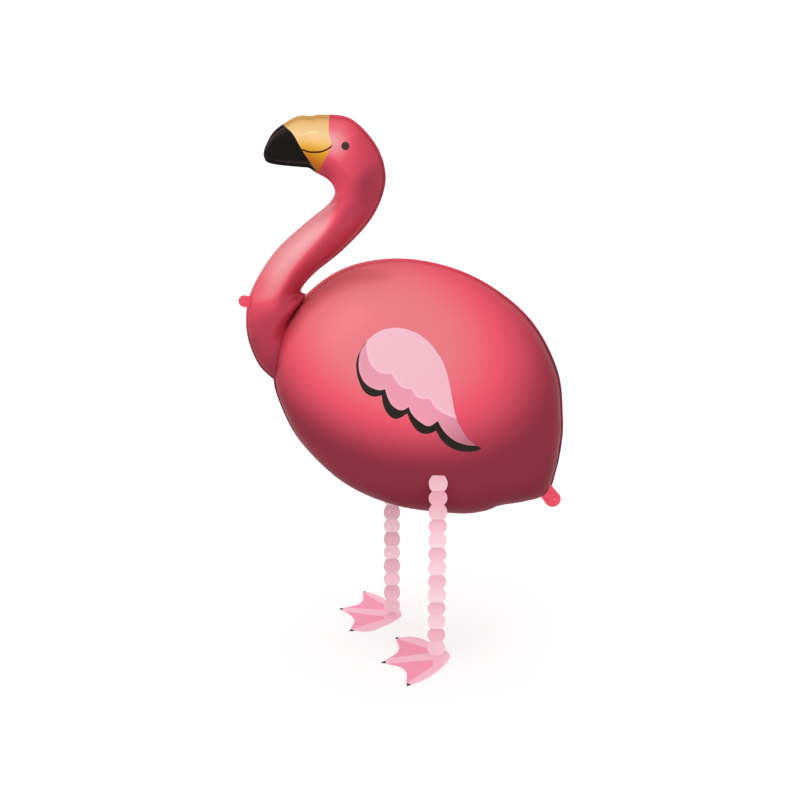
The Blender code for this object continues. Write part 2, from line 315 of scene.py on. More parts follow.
normals = [vert.normal.copy() for vert in body.data.vertices]
for vert, normal in zip(body.data.vertices, normals):
    if abs(vert.co.y) > SEAM_THICKNESS:
        outward = normal if normal.y < 0 else -normal
        vert.co += outward * pleat(vert.co)
mirror = body.modifiers.new("other_sheet", "MIRROR")
mirror.use_axis = (False, True, False)
mirror.merge_threshold = SEAM_THICKNESS / 10
apply_modifiers(body)
edit(body)
bpy.ops.mesh.select_all(action="SELECT")
bpy.ops.mesh.remove_doubles(threshold=SEAM_THICKNESS / 100)
bpy.ops.mesh.normals_make_consistent(inside=False)
bpy.ops.object.mode_set(mode="OBJECT")
bpy.ops.object.shade_smooth_by_angle(angle=SMOOTH_ANGLE)
print(count_faces(body))

# %% [markdown]
# ## The inflation tabs
# Each balloon is filled through a flat tongue that stays outside the seam. A disc is drawn out
# to a tongue, given its thickness, and its two faces are inset and puffed up a little, which
# leaves a welded rim round a soft middle.

# %% Shape a tab
TAB_POINTS = 32
TAB_RIM = 0.0035
TAB_LIFTS = (0.5, 1.6, 0.9)   # in thicknesses of the tab, from the rim inwards
TAB_SMOOTH_ANGLE = math.radians(40)


def make_tab(name, base, angle, width, reach):
    """Model a tongue with a round end that stands out from a seam."""
    way = Vector((math.cos(angle), 0.0, math.sin(angle)))
    middle = base + way * (reach - width / 2)
    start_clean()
    bpy.ops.mesh.primitive_circle_add(vertices=TAB_POINTS, radius=width / 2, fill_type="NGON",
                                      location=middle, rotation=(math.pi / 2, -angle, 0.0))
    tongue = bpy.context.object
    tongue.name = name
    bpy.ops.object.transform_apply(location=True, rotation=True, scale=True)
    edit(tongue)
    pick(tongue, lambda spot: (spot - middle).dot(way) < -width / 8)
    bpy.ops.transform.translate(value=way * -width)
    bpy.ops.mesh.select_all(action="SELECT")
    bpy.ops.mesh.extrude_region_move(TRANSFORM_OT_translate={"value": MIDDLE_WAY * TAB_THICKNESS})
    bpy.ops.mesh.select_all(action="SELECT")
    bpy.ops.transform.translate(value=MIDDLE_WAY * -TAB_THICKNESS / 2)
    bpy.ops.mesh.normals_make_consistent(inside=False)
    bpy.ops.object.mode_set(mode="OBJECT")
    for side in (-1, 1):
        puff_face(tongue, side)
    bpy.ops.object.shade_smooth_by_angle(angle=TAB_SMOOTH_ANGLE)
    return tongue


def puff_face(tongue, side):
    """Inset one large face of a tab and lift its middle."""
    for face in tongue.data.polygons:
        face.select = face.normal.y * side > 0.9 and face.area > TAB_RIM ** 2
    for lift in TAB_LIFTS:
        bpy.ops.object.mode_set(mode="EDIT")
        bpy.ops.mesh.select_mode(type="FACE")
        bpy.ops.mesh.inset(thickness=TAB_RIM)
        bpy.ops.transform.translate(value=MIDDLE_WAY * side * lift * TAB_THICKNESS)
        bpy.ops.object.mode_set(mode="OBJECT")


tail_tab = make_tab("tail_tab", BODY_CENTRE + body_edge(0), TAIL_TAB_ANGLE, TAIL_TAB_WIDTH,
                    TAIL_TAB_REACH)
front_edge = [neck_place(share) for share in NECK_FRONT]
breast_tab = make_tab("breast_tab", along_open_line(front_edge, BREAST_TAB_STATION),
                      BREAST_TAB_ANGLE, BREAST_TAB_WIDTH, BREAST_TAB_REACH)
print(count_faces(tail_tab), "and", count_faces(breast_tab))

# %% [markdown]
# ## The neck and head balloon
# The second balloon is a tube that is pinched to a point at the beak and runs down into the
# breast. A sphere has poles at two ends and rings between them, just as this tube has, so its
# rings are moved one by one on to the oval sections between the back edge and the front edge.
# The outermost points of a ring make the flat seam. Each point also gets a place on a map that
# follows the neck: across from front to back, and along from the beak to the breast. The neck's
# painted light and shade, and the beak's colours, are laid on with that map later.

# %% Draw a sphere along the neck
NECK_SIDES = 56
NECK_RINGS = 180
LAST_STATION = len(NECK_BACK) - 1
back_edge = [neck_place(share) for share in NECK_BACK]


def ring_place(spot, reach):
    """Return how far across and how high a point of a neck ring lies, in half widths."""
    half = NECK_SIDES // 2
    seam = min(SEAM_WIDTH / reach, WIDEST_SEAM)
    if spot in (0, half - 1):
        return (1.0 if spot == 0 else -1.0), 0.0
    angle = (spot - 1) / (half - 3) * math.pi
    return math.cos(angle) * (1.0 - seam), math.sin(angle) * NECK_ROUNDNESS


def shape_neck(neck):
    """Move a sphere's points on to the neck and return each point's place on its map."""
    half = NECK_SIDES // 2
    places = []
    for vert in neck.data.vertices:
        station = round(math.acos(max(-1.0, min(1.0, vert.co.z))) / math.pi * NECK_RINGS)
        way = station / NECK_RINGS * LAST_STATION
        rear = along_open_line(back_edge, way)
        fore = along_open_line(front_edge, way)
        if station in (0, NECK_RINGS):
            vert.co = rear
            places.append((0.5, way / LAST_STATION))
            continue
        spot = round(math.atan2(vert.co.y, vert.co.x) % math.tau / math.tau * NECK_SIDES)
        spot %= NECK_SIDES
        side = 1.0 if spot < half else -1.0
        spot = spot if spot < half else NECK_SIDES - 1 - spot
        reach = (fore - rear) / 2
        across, height = ring_place(spot, reach.length)
        vert.co = (fore + rear) / 2 + reach * across
        vert.co.y = side * (height * reach.length + SEAM_THICKNESS / 2)
        places.append((0.5 - across / 2, way / LAST_STATION))
    return places


start_clean()
bpy.ops.mesh.primitive_uv_sphere_add(segments=NECK_SIDES, ring_count=NECK_RINGS, radius=1.0)
neck = bpy.context.object
neck.name = "neck_foil"
map_places = shape_neck(neck)
neck_map = neck.data.uv_layers.active
for loop in neck.data.loops:
    neck_map.data[loop.index].uv = map_places[loop.vertex_index]
print(count_faces(neck))

# %% [markdown]
# ## Where the neck meets the body
# The neck balloon is stuck to the front of the body, so its foil lies against the body's
# skin there. A copy of the body, grown by a hair, is cut out of the neck, which gives the
# neck a dented seat that fits the body exactly.

# %% Press the neck against the body
take(neck)
bpy.ops.object.mode_set(mode="EDIT")
bpy.ops.mesh.select_all(action="SELECT")
bpy.ops.mesh.normals_make_consistent(inside=False)
bpy.ops.object.mode_set(mode="OBJECT")
pressed = body.copy()
pressed.data = body.data.copy()
pressed.name = "pressed_body"
bpy.context.collection.objects.link(pressed)
grow = pressed.modifiers.new("grow", "DISPLACE")
grow.strength = CLEARANCE
grow.mid_level = 0.0
apply_modifiers(pressed)
cut = neck.modifiers.new("seat", "BOOLEAN")
cut.operation = "DIFFERENCE"
cut.object = pressed
cut.solver = "EXACT"
apply_modifiers(neck)
bpy.data.objects.remove(pressed, do_unlink=True)
bpy.ops.object.shade_smooth_by_angle(angle=SMOOTH_ANGLE)
print(count_faces(neck))

# %% [markdown]
# ## Colours and printed lines
# The pinks change softly from a light one to a deep one; these soft changes are painted light
# and shade, and crisp printed edges are only round the beak, the wing and the eye. Colours are
# written as a paint program shows them, from 0 to 255, and turned into the values that light is
# reckoned with. The studio's light is a little stronger than one, so every colour is divided by
# that gain and is seen about as it is written. Foil is partly a metal, and its edge tint keeps
# the pink from going pale where the foil turns away from the eye.

# %% Helpers for materials
STUDIO_GAIN = 1.07
WHITE = (1.0, 1.0, 1.0, 1.0)
EDGE_TINT = (0.5, 0.12, 0.16, 1.0)


def paint(red, green, blue):
    """Turn a colour as it should be seen in the studio's light into a shader's colour."""
    shares = [value / 255 for value in (red, green, blue)]
    linear = [share / 12.92 if share <= 0.04045 else ((share + 0.055) / 1.055) ** 2.4
              for share in shares]
    return (*(value / STUDIO_GAIN for value in linear), 1.0)


class Finish:
    """A material whose nodes are added one at a time."""

    def __init__(self, name, roughness, specular=0.5, metallic=0.0):
        self.material = bpy.data.materials.new(name)
        self.material.use_nodes = True
        self.tree = self.material.node_tree
        self.shader = self.tree.nodes["Principled BSDF"]
        self.shader.inputs["Roughness"].default_value = roughness
        self.shader.inputs["Specular IOR Level"].default_value = specular
        self.shader.inputs["Metallic"].default_value = metallic
        self.shader.inputs["Specular Tint"].default_value = EDGE_TINT if metallic else WHITE

    def add(self, kind, **settings):
        """Add a node and set its properties."""
        node = self.tree.nodes.new("ShaderNode" + kind)
        for name, value in settings.items():
            setattr(node, name, value)
        return node

    def feed(self, socket, value):
        """Join an output to an input, or set the input to a constant."""
        if isinstance(value, bpy.types.NodeSocket):
            self.tree.links.new(value, socket)
        else:
            socket.default_value = value

    def math(self, operation, first, second=0.0, third=0.0):
        """Reckon with one, two or three numbers."""
        node = self.add("Math", operation=operation)
        for socket, value in zip(node.inputs, (first, second, third)):
            self.feed(socket, value)
        return node.outputs[0]

    def spot(self):
        """Return a point's place on the piece."""
        return self.add("TexCoord").outputs["Object"]

    def split(self, vector):
        """Return the three parts of a place."""
        node = self.add("SeparateXYZ")
        self.feed(node.inputs[0], vector)
        return node.outputs

    def turned(self, location, rotation, scale):
        """Return a point's place in a frame that is moved, turned and scaled."""
        node = self.add("Mapping", vector_type="TEXTURE")
        self.feed(node.inputs["Vector"], self.spot())
        node.inputs["Location"].default_value = location
        node.inputs["Rotation"].default_value = rotation
        node.inputs["Scale"].default_value = scale
        return node.outputs[0]

    def step(self, value, low, high):
        """Rise smoothly from 0 at a low value to 1 at a high one."""
        node = self.add("MapRange", interpolation_type="SMOOTHSTEP")
        for name, number in (("Value", value), ("From Min", low), ("From Max", high)):
            self.feed(node.inputs[name], number)
        return node.outputs[0]

    def ramp(self, value, stops):
        """Run through colours, each given with its place from 0 to 1."""
        node = self.add("ValToRGB")
        band = node.color_ramp
        band.interpolation = "CARDINAL"
        while len(band.elements) < len(stops):
            band.elements.new(1.0)
        for element, (where, colour) in zip(band.elements, stops):
            element.position = where
            element.color = colour
        self.feed(node.inputs[0], value)
        return node.outputs[0]

    def line(self, value, points, corners=()):
        """Read a drawn line: for a number from 0 to 1, how high the line is."""
        node = self.add("FloatCurve")
        node.mapping.clip_min_y = -1.0
        curve = node.mapping.curves[0]
        while len(curve.points) < len(points):
            curve.points.new(0.5, 0.5)
        for number, (knot, spot) in enumerate(zip(curve.points, points)):
            knot.location = spot
            knot.handle_type = "VECTOR" if number in corners else "AUTO"
        node.mapping.update()
        self.feed(node.inputs["Value"], value)
        return node.outputs[0]

    def length(self, vector):
        """Return how far a point is from its frame's middle."""
        node = self.add("VectorMath", operation="LENGTH")
        self.feed(node.inputs[0], vector)
        return node.outputs["Value"]

    def reach(self, vector, way):
        """Return how far a point lies along a direction on the floor."""
        node = self.add("VectorMath", operation="DOT_PRODUCT")
        self.feed(node.inputs[0], vector)
        node.inputs[1].default_value = (way.x, way.y, 0.0)
        return node.outputs["Value"]

    def over_line(self, value, line, softness):
        """Return 1 where a value is above a line and 0 where it is below."""
        return self.step(self.math("SUBTRACT", value, line), -softness, softness)

    def mix(self, share, under, over):
        """Lay one colour over another."""
        node = self.add("Mix", data_type="RGBA")
        for number, value in ((0, share), (6, under), (7, over)):
            self.feed(node.inputs[number], value)
        return node.outputs[2]

    def noise(self, scale, detail=2.0):
        """Return an uneven grey between 0 and 1."""
        node = self.add("TexNoise")
        node.inputs["Scale"].default_value = scale
        node.inputs["Detail"].default_value = detail
        self.feed(node.inputs["Vector"], self.spot())
        return node.outputs[0]

    def raise_by(self, height, distance):
        """Let a height show as relief in the light."""
        node = self.add("Bump")
        node.inputs["Distance"].default_value = distance
        self.feed(node.inputs["Height"], height)
        if self.shader.inputs["Normal"].is_linked:
            self.feed(node.inputs["Normal"], self.shader.inputs["Normal"].links[0].from_socket)
        self.feed(self.shader.inputs["Normal"], node.outputs[0])

    def colour(self, value):
        """Set the colour that is seen."""
        self.feed(self.shader.inputs["Base Color"], value)


print("a mid pink as light:", [round(part, 3) for part in paint(234, 96, 114)])

# %% [markdown]
# ## The body's print and its painted light and shade
# The pink is lightest on the upper front of the flank, a painted highlight, and darkens towards
# the seam and the belly as painted shade, so its rings of equal colour are long ovals. Distance
# in a frame that is turned and stretched like such an oval gives them, and a band of colours is
# read off at that distance.

# %% The body's pink with its painted highlight and shade
FOIL_ROUGHNESS = 0.36
FOIL_SPECULAR = 0.05
FOIL_METAL = 0.4
PAINTED_HIGHLIGHT_CENTRE = (-0.042, 0.0, 1.003)
PAINTED_HIGHLIGHT_LEAN = math.radians(-67.9)
PAINTED_HIGHLIGHT_ALONG = 0.345
PAINTED_HIGHLIGHT_ACROSS = 0.487
LAST_RING = 1.45
FLAT = 100.0   # stretches a frame so far that the way through the bird no longer counts
# These pinks run from a painted highlight at the oval's middle to painted shade at the seam and the
# belly.
BODY_PINKS_AND_PAINTED_SHADE = [
    (0.30, paint(230, 123, 132)), (0.45, paint(233, 115, 126)), (0.60, paint(233, 96, 114)),
    (0.70, paint(226, 84, 105)), (0.80, paint(204, 76, 96)), (0.90, paint(177, 64, 82)),
    (1.00, paint(150, 54, 70)), (1.07, paint(139, 51, 67)), (1.25, paint(137, 50, 66)),
    (1.45, paint(124, 46, 60)),
]

body_finish = Finish("printed_foil_with_painted_shade_body", FOIL_ROUGHNESS, FOIL_SPECULAR, FOIL_METAL)
painted_highlight_frame = body_finish.turned(PAINTED_HIGHLIGHT_CENTRE, (0.0, PAINTED_HIGHLIGHT_LEAN, 0.0),
                          (PAINTED_HIGHLIGHT_ALONG * LAST_RING, FLAT, PAINTED_HIGHLIGHT_ACROSS * LAST_RING))
body_pink_and_painted_shade = body_finish.ramp(body_finish.length(painted_highlight_frame),
                             [(where / LAST_RING, pink) for where, pink in BODY_PINKS_AND_PAINTED_SHADE])
print("pinks on the body:", len(BODY_PINKS_AND_PAINTED_SHADE))

# %% [markdown]
# ## The printed wing
# The wing is three layers of feathers, each ending in rounded lobes, on both flanks. It lies
# along a slope, so it is drawn in a frame that is turned until the wing is level. There, every
# edge is a line that has just one height at each place, and such a line can be drawn with the
# Float Curve node. A layer is all that lies under the top line and over its own lower line.
# Where two lobes meet, the line has a sharp corner. Along its lower line a layer has a rim of
# another shade, which lifts the feathers off the layer below.

# %% The wing's lines
WING_START = (-0.1135, 0.0, 0.9885)
WING_SLOPE = math.radians(42.85)
WING_LENGTH = 0.462
WING_TOP = [
    (0.0, -0.5), (0.028, 0.0), (0.037, 0.087), (0.095, 0.184), (0.18, 0.24), (0.274, 0.263),
    (0.38, 0.254), (0.465, 0.227), (0.56, 0.17), (0.667, 0.091), (0.742, 0.041),
    (0.823, 0.009), (0.892, -0.007), (0.95, -0.006), (0.992, -0.001), (1.0, -0.1),
]
LIGHT_EDGE = [
    (0.0, 0.1), (0.034, 0.0), (0.105, -0.056), (0.18, -0.076), (0.235, -0.058),
    (0.269, -0.024), (0.309, -0.039), (0.355, -0.045), (0.395, -0.032), (0.418, -0.011),
    (0.459, -0.025), (0.5, -0.017), (0.54, 0.018), (0.579, 0.007), (0.64, 0.004),
    (0.746, 0.039), (1.0, 0.1),
]
LIGHT_CORNERS = (1, 5, 9, 12, 15)
MIDDLE_EDGE = [
    (0.0, 0.1), (0.034, 0.0), (0.04, -0.047), (0.066, -0.096), (0.095, -0.131),
    (0.138, -0.162), (0.198, -0.178), (0.253, -0.166), (0.288, -0.144), (0.303, -0.121),
    (0.35, -0.149), (0.415, -0.166), (0.468, -0.145), (0.482, -0.104), (0.52, -0.122),
    (0.6, -0.126), (0.655, -0.108), (0.671, -0.048), (0.722, -0.066), (0.781, -0.074),
    (0.838, -0.069), (0.883, -0.053), (0.933, -0.024), (0.956, -0.004), (1.0, 0.05),
]
MIDDLE_CORNERS = (1, 9, 13, 17)
DARK_EDGE = [
    (0.0, 0.1), (0.03, 0.0), (0.042, -0.063), (0.058, -0.106), (0.088, -0.145),
    (0.164, -0.199), (0.237, -0.22), (0.289, -0.199), (0.314, -0.163), (0.351, -0.194),
    (0.418, -0.223), (0.471, -0.216), (0.492, -0.185), (0.502, -0.14), (0.567, -0.169),
    (0.628, -0.178), (0.671, -0.161), (0.694, -0.132), (0.705, -0.101), (0.788, -0.124),
    (0.874, -0.112), (0.94, -0.073), (0.975, -0.035), (0.992, -0.004), (1.0, 0.05),
]
DARK_CORNERS = (1, 8, 13, 18)
TOP_CORNERS = (1,)
RIM_WIDTH = 0.028
PRINT_EDGE = 0.0015   # how soft a printed edge is, as a share of the wing's length
print("points on the wing's top line:", len(WING_TOP))

# %% Print the wing on the body
DARK_RIM = paint(48, 44, 40)
LIGHT_RIM = paint(252, 192, 207)
wing_spot = body_finish.turned(WING_START, (0.0, WING_SLOPE, 0.0),
                               (WING_LENGTH, WING_LENGTH, WING_LENGTH))
wing_along, _, wing_up = body_finish.split(wing_spot)
top_line = body_finish.line(wing_along, WING_TOP, TOP_CORNERS)
under_top = body_finish.over_line(top_line, wing_up, PRINT_EDGE)


def feather_layer(edge, corners, inner, rim):
    """Return where a layer of feathers covers the foil, and its colour with its rim."""
    lower_line = body_finish.line(wing_along, edge, corners)
    over_lower = body_finish.over_line(wing_up, lower_line, PRINT_EDGE)
    rise = body_finish.math("SUBTRACT", wing_up, lower_line)
    feathers = body_finish.mix(body_finish.step(rise, 0.0, RIM_WIDTH), rim, inner)
    return body_finish.math("MULTIPLY", under_top, over_lower), feathers


# The black, the middle pink and the middle rim darken towards the wing's tip: painted shade that
# follows the body's painted shade around them.
dark_feathers = body_finish.ramp(wing_along, [
    (0.05, paint(48, 47, 42)), (0.6, paint(43, 40, 36)),
])
middle_feathers = body_finish.ramp(wing_along, [
    (0.1, paint(229, 155, 175)), (0.65, paint(233, 152, 173)), (0.86, paint(194, 121, 139)),
    (0.98, paint(166, 101, 115)),
])
light_feathers = body_finish.ramp(wing_along, [
    (0.1, paint(240, 189, 201)), (0.7, paint(239, 182, 196)),
])
middle_rim = body_finish.ramp(wing_along, [
    (0.6, paint(236, 161, 180)), (0.8, paint(208, 133, 151)), (0.98, paint(170, 104, 118)),
])
print_colour = body_pink_and_painted_shade
for edge, corners, inner, rim in (
        (DARK_EDGE, DARK_CORNERS, dark_feathers, DARK_RIM),
        (MIDDLE_EDGE, MIDDLE_CORNERS, middle_feathers, middle_rim),
        (LIGHT_EDGE, LIGHT_CORNERS, light_feathers, LIGHT_RIM)):
    area, feathers = feather_layer(edge, corners, inner, rim)
    print_colour = body_finish.mix(area, print_colour, feathers)
body_finish.colour(print_colour)
body.data.materials.append(body_finish.material)
print("layers of feathers:", 3)

# %% [markdown]
# ## Foil in the light
# Printed foil has a satin gloss that changes a little from place to place, a grain as fine as
# the film, and soft crinkles that are wider than they are deep. The welded seam carries fine
# cross ribs from the heated jaws that closed it.

# %% Foil relief
CRINKLE_SCALE = 9.0
CRINKLE_DEPTH = 0.0012
GRAIN_SCALE = 1400.0
GRAIN_DEPTH = 0.00003
RIB_SCALE = 420.0
RIB_DEPTH = 0.00003
SHINY = 0.30
DULL = 0.44


def foil_relief(finish):
    """Give a finish the foil's crinkles, its grain, its ribbed seam and its uneven gloss."""
    finish.raise_by(finish.noise(CRINKLE_SCALE, 3.0), CRINKLE_DEPTH)
    finish.raise_by(finish.noise(GRAIN_SCALE, 1.0), GRAIN_DEPTH)
    _, through, _ = finish.split(finish.spot())
    flat_seam = finish.step(finish.math("ABSOLUTE", through), SEAM_THICKNESS, SEAM_THICKNESS * 0.6)
    rib = finish.add("TexWave", bands_direction="DIAGONAL")
    rib.inputs["Scale"].default_value = RIB_SCALE
    finish.feed(rib.inputs["Vector"], finish.spot())
    finish.raise_by(finish.math("MULTIPLY", rib.outputs["Fac"], flat_seam), RIB_DEPTH)
    gloss = finish.add("MapRange")
    finish.feed(gloss.inputs["Value"], finish.noise(CRINKLE_SCALE * 3))
    gloss.inputs["To Min"].default_value = SHINY
    gloss.inputs["To Max"].default_value = DULL
    finish.feed(finish.shader.inputs["Roughness"], gloss.outputs[0])


foil_relief(body_finish)
print("crinkles are", round(1000 / CRINKLE_SCALE), "mm wide")

# %% [markdown]
# ## The neck's painted light and shade
# The neck is shaded like a bent tube, and that shade is painted into its colour along with its
# highlights, so the painted light and shade run along the neck and have to follow its bends.
# That is what the neck's map is for. A painted tube's shade runs across the whole neck. A painted
# glow on the cheek and a long painted highlight on the front of the neck are each one line for
# the strength across the neck, times one for the strength along it, and a strength below zero
# darkens. The long highlight also leans from one side to the other on its way down. On the
# breast all this fades into a painted shade of its own, whose level rises a little towards the
# back. The sum is read off on one band of pinks.

# %% The painted light and shade on the neck
# The band runs from painted shade at 0 to a painted highlight at 1.
NECK_PINKS = [
    (0.0, paint(130, 49, 65)), (0.25, paint(167, 60, 78)), (0.5, paint(211, 76, 97)),
    (0.65, paint(229, 93, 111)), (0.8, paint(234, 125, 136)), (1.0, paint(237, 166, 171)),
]
TUBE_SHADE = [
    (0.0, 0.871), (0.1, 0.609), (0.25, 0.493), (0.4, 0.373), (0.5, 0.302), (0.6, 0.244),
    (0.7, 0.229), (0.85, 0.264), (1.0, 0.297),
]
PAINTED_CHEEK_GLOW_ACROSS = [
    (0.0, -0.424), (0.15, -0.179), (0.3, 0.076), (0.4, 0.392), (0.5, 0.551), (0.62, 0.642),
    (0.8, 0.464), (1.0, 0.249),
]
PAINTED_CHEEK_GLOW_ALONG = [
    (0.0, 1.0), (0.332, 1.0), (0.36, 0.885), (0.388, 0.559), (0.416, 0.396), (0.445, 0.307),
    (0.5, 0.0), (1.0, 0.0),
]
PAINTED_NECK_HIGHLIGHT_ACROSS = [
    (0.0, 0.155), (0.12, 0.307), (0.27, 0.489), (0.38, 0.529), (0.48, 0.289), (0.58, 0.17),
    (0.7, 0.189), (0.85, 0.111), (1.0, 0.038),
]
PAINTED_NECK_HIGHLIGHT_ALONG = [
    (0.0, 0.0), (0.492, 0.0), (0.529, 0.38), (0.559, 0.55), (0.588, 0.82), (0.624, 1.0),
    (0.736, 1.0), (0.765, 0.88), (0.798, 0.35), (0.841, 0.0), (1.0, 0.0),
]
PAINTED_NECK_HIGHLIGHT_LEAN = [
    (0.0, 0.0), (0.49, -0.279), (0.529, -0.238), (0.559, -0.097), (0.588, -0.006), (0.62, 0.035),
    (0.655, 0.052), (0.69, 0.098), (0.72, 0.153), (1.0, 0.12),
]
PAINTED_BREAST_SHADE_ALONG = [
    (0.0, 0.0), (0.736, 0.0), (0.765, 0.3), (0.794, 0.52), (0.824, 0.85), (0.859, 1.0), (1.0, 1.0),
]
PAINTED_BREAST_SHADE_LEVEL = [(0.0, 0.24), (0.83, 0.2), (0.88, 0.18), (0.94, 0.13), (1.0, 0.3)]
PAINTED_BREAST_SHADE_RISE = 0.25

neck_finish = Finish("printed_foil_with_painted_shade_neck", FOIL_ROUGHNESS, FOIL_SPECULAR, FOIL_METAL)
map_node = neck_finish.add("UVMap", uv_map=neck.data.uv_layers.active.name)
neck_across, neck_along, _ = neck_finish.split(map_node.outputs[0])
# The cheek's painted glow lightens or darkens, the long painted highlight lightens, and the breast
# fades into painted shade.
cheek = neck_finish.math("MULTIPLY", neck_finish.line(neck_across, PAINTED_CHEEK_GLOW_ACROSS),
                         neck_finish.line(neck_along, PAINTED_CHEEK_GLOW_ALONG))
leant_across = neck_finish.math("SUBTRACT", neck_across, neck_finish.line(neck_along, PAINTED_NECK_HIGHLIGHT_LEAN))
painted_neck_highlight = neck_finish.math("MULTIPLY", neck_finish.line(leant_across, PAINTED_NECK_HIGHLIGHT_ACROSS),
                              neck_finish.line(neck_along, PAINTED_NECK_HIGHLIGHT_ALONG))
tube = neck_finish.line(neck_across, TUBE_SHADE)
painted_light_and_shade = neck_finish.math("ADD", neck_finish.math("ADD", tube, cheek), painted_neck_highlight)
breast = neck_finish.line(neck_along, PAINTED_BREAST_SHADE_ALONG)
breast_shade_front = neck_finish.line(neck_along, PAINTED_BREAST_SHADE_LEVEL)
breast_shade_level = neck_finish.math("MULTIPLY_ADD", neck_across, PAINTED_BREAST_SHADE_RISE, breast_shade_front)
breast_shade_change = neck_finish.math("SUBTRACT", breast_shade_level, painted_light_and_shade)
painted_light_and_shade = neck_finish.math("MULTIPLY_ADD", breast, breast_shade_change, painted_light_and_shade)
neck_pink = neck_finish.ramp(painted_light_and_shade, NECK_PINKS)
print("strokes on the neck:", 4)

# %% [markdown]
# ## The face
# The beak's black tip and its yellow part end in crisp lines that cross the head from top to
# bottom, so they are drawn as lines of X over Z. They stay in the head, above the throat. The
# mouth is a thin line of Z over X, with a soft streak of light above it, and the eye is a dot.
# All of it is on both sides. The yellow is lightest in the upper half of the beak, a painted
# highlight, and darkens towards its underside as painted shade.

# %% The lines of the beak
FACE_CORNER = (-0.36, 0.0, 1.43)
FACE_SIZE = 0.18
BLACK_EDGE = [(0.0, 0.64), (0.139, 0.571), (0.218, 0.531), (0.322, 0.468), (0.472, 0.385),
              (0.637, 0.286), (0.706, 0.209), (0.76, 0.129), (1.0, -0.3)]
YELLOW_EDGE = [(0.0, 0.64), (0.077, 0.688), (0.189, 0.755), (0.324, 0.834), (0.434, 0.882),
               (0.514, 0.89), (0.653, 0.854), (0.782, 0.85), (1.0, 0.843)]
MOUTH_LINE = [(0.0, 0.42), (0.44, 0.389), (0.524, 0.361), (0.636, 0.355), (0.731, 0.364),
              (0.817, 0.394), (0.866, 0.423), (0.903, 0.451), (1.0, 0.53)]
MOUTH_START = 0.42
MOUTH_END = 0.915
MOUTH_FADE = 0.02
MOUTH_WIDTH = 0.014
STREAK_LINE = [(0.0, 0.42), (0.414, 0.6), (0.48, 0.63), (0.546, 0.65), (0.62, 0.663),
               (0.693, 0.668), (1.0, 0.66)]
STREAK_ENDS = ((0.38, 0.46), (0.71, 0.65))   # where it starts to show, and is full, at each end
STREAK_WIDTH = 0.022
STREAK_STRENGTH = 0.4
EYE_PLACE = (-0.1598, 0.0, 1.5109)
EYE_RADIUS = 0.0113
EYE_SOFTNESS = 0.06
FACE_EDGE = 0.003
print("the eye is", round(EYE_RADIUS * 2000, 1), "mm wide")

# %% Print the face, with painted light and shade on the beak
THROAT_FADE = 0.02
MOUTH_BROWN = paint(66, 40, 20)
EYE_BROWN = paint(72, 58, 51)
STREAK_YELLOW = paint(255, 236, 190)
face_spot = neck_finish.turned(FACE_CORNER, (0.0, 0.0, 0.0), (FACE_SIZE, FLAT, FACE_SIZE))
face_x, _, face_z = neck_finish.split(face_spot)
above_throat = neck_finish.step(face_z, -THROAT_FADE, 0.0)
yellow_part = neck_finish.over_line(neck_finish.line(face_z, YELLOW_EDGE), face_x, FACE_EDGE)
yellow_part = neck_finish.math("MULTIPLY", yellow_part, above_throat)
black_part = neck_finish.over_line(neck_finish.line(face_z, BLACK_EDGE), face_x, FACE_EDGE)
black_part = neck_finish.math("MULTIPLY", black_part, above_throat)
# The beak's yellow, with a painted highlight in its upper half and painted shade underneath.
yellow = neck_finish.ramp(neck_across, [
    (0.0, paint(165, 98, 44)), (0.12, paint(178, 104, 36)), (0.2, paint(192, 116, 36)),
    (0.3, paint(206, 140, 40)), (0.4, paint(224, 163, 60)), (0.5, paint(239, 187, 106)),
    (0.6, paint(240, 197, 137)), (0.7, paint(237, 199, 142)), (0.85, paint(232, 188, 125)),
    (1.0, paint(212, 166, 98)),
])
# The beak's black, with a painted sheen: a brown-grey gleam near its top.
black = neck_finish.ramp(neck_across, [
    (0.5, paint(27, 27, 25)), (0.72, paint(30, 29, 27)), (0.88, paint(50, 44, 41)),
    (1.0, paint(40, 35, 33)),
])
mouth_height = neck_finish.math("SUBTRACT", face_z, neck_finish.line(face_x, MOUTH_LINE))
mouth = neck_finish.step(neck_finish.math("ABSOLUTE", mouth_height), MOUTH_WIDTH + FACE_EDGE,
                         MOUTH_WIDTH - FACE_EDGE)
for start, end in ((MOUTH_START, MOUTH_START + MOUTH_FADE), (MOUTH_END, MOUTH_END - MOUTH_FADE)):
    mouth = neck_finish.math("MULTIPLY", mouth, neck_finish.step(face_x, start, end))
streak_height = neck_finish.math("SUBTRACT", face_z, neck_finish.line(face_x, STREAK_LINE))
streak = neck_finish.step(neck_finish.math("ABSOLUTE", streak_height), STREAK_WIDTH, 0.0)
for start, end in STREAK_ENDS:
    streak = neck_finish.math("MULTIPLY", streak, neck_finish.step(face_x, start, end))
streak = neck_finish.math("MULTIPLY", streak, STREAK_STRENGTH)
eye_place = neck_finish.turned(EYE_PLACE, (0.0, 0.0, 0.0), (EYE_RADIUS, FLAT, EYE_RADIUS))
eye = neck_finish.step(neck_finish.length(eye_place), 1.0 + EYE_SOFTNESS, 1.0 - EYE_SOFTNESS)
lit_yellow = neck_finish.mix(streak, yellow, STREAK_YELLOW)
face_print = neck_finish.mix(yellow_part, neck_pink, lit_yellow)
face_print = neck_finish.mix(mouth, face_print, MOUTH_BROWN)
face_print = neck_finish.mix(black_part, face_print, black)
neck_finish.colour(neck_finish.mix(eye, face_print, EYE_BROWN))
foil_relief(neck_finish)
neck.data.materials.append(neck_finish.material)
print("parts of the face:", 4)

# %% [markdown]
# ## The tabs
# The tabs carry one bright pink with hardly any change in it. They are joined to their
# balloons and keep their own material.

